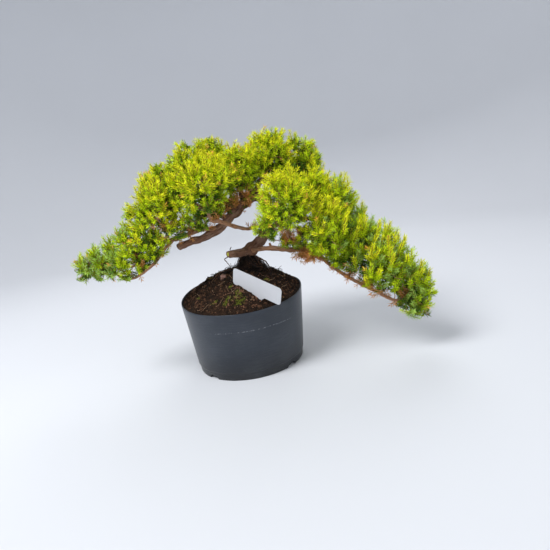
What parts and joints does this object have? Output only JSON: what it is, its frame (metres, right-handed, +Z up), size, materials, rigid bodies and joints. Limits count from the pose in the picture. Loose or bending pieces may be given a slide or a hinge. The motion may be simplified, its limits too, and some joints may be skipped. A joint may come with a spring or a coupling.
{
  "type": "juniper bonsai",
  "caption": "Juniper bonsai with a leaning trunk, an arching bough, a long drooping low bough and pads of needle foliage, in a slant-cut plastic nursery pot with a blank plant label.",
  "frame": {"origin": "centre of the pot's flat underside", "axes": "+Z up, +X to the right seen from the front, along the low bough that sweeps down, -Y towards the front, where the label is"},
  "size_m": [0.4215, 0.1891, 0.2888],
  "materials": {
    "pot_plastic": "slate-grey moulded plastic with a soft sheen, scuffed and dusty",
    "potting_soil": "dark crumbly potting soil with bark chips and moss",
    "label_plastic": "smooth white plant label, blank",
    "bark": "flaking grey-brown and reddish bark",
    "cut_wood": "bark round a pruned stub with a pale greenish cut face",
    "foliage": "bright yellow-green juniper needles on short upright shoots"
  },
  "bodies": {
    "root": {"arch_bough": "bark", "bough_back_left": "bark", "bough_back_mid": "bark", "bough_back_right": "bark", "bough_back_top": "bark", "bough_front_right": "bark", "bough_left": "bark", "bough_left_knob": "bark", "bough_left_mid": "bark", "bough_left_tip": "bark", "bough_left_upper": "bark", "bough_right_low": "bark", "bough_right_mid": "bark", "bough_right_outer": "bark", "bough_right_tip": "bark", "bough_shoulder": "bark", "bough_thin": "bark", "bough_top": "bark", "bough_top_knob": "bark", "bough_top_left": "bark", "foliage_back_left": "foliage", "foliage_back_mid": "foliage", "foliage_back_right": "foliage", "foliage_back_top": "foliage", "foliage_front_right": "foliage", "foliage_inner_left": "foliage", "foliage_left_knob": "foliage", "foliage_left_low": "foliage", "foliage_left_mid": "foliage", "foliage_left_tip": "foliage", "foliage_left_upper": "foliage", "foliage_right_low": "foliage", "foliage_right_mid": "foliage", "foliage_right_outer": "foliage", "foliage_right_shoulder": "foliage", "foliage_right_tip": "foliage", "foliage_top": "foliage", "foliage_top_knob": "foliage", "foliage_top_left": "foliage", "label": "label_plastic", "low_bough": "bark", "pot": "pot_plastic", "soil": "potting_soil", "stub": "cut_wood", "trunk": "bark"}
  },
  "joints": []
}
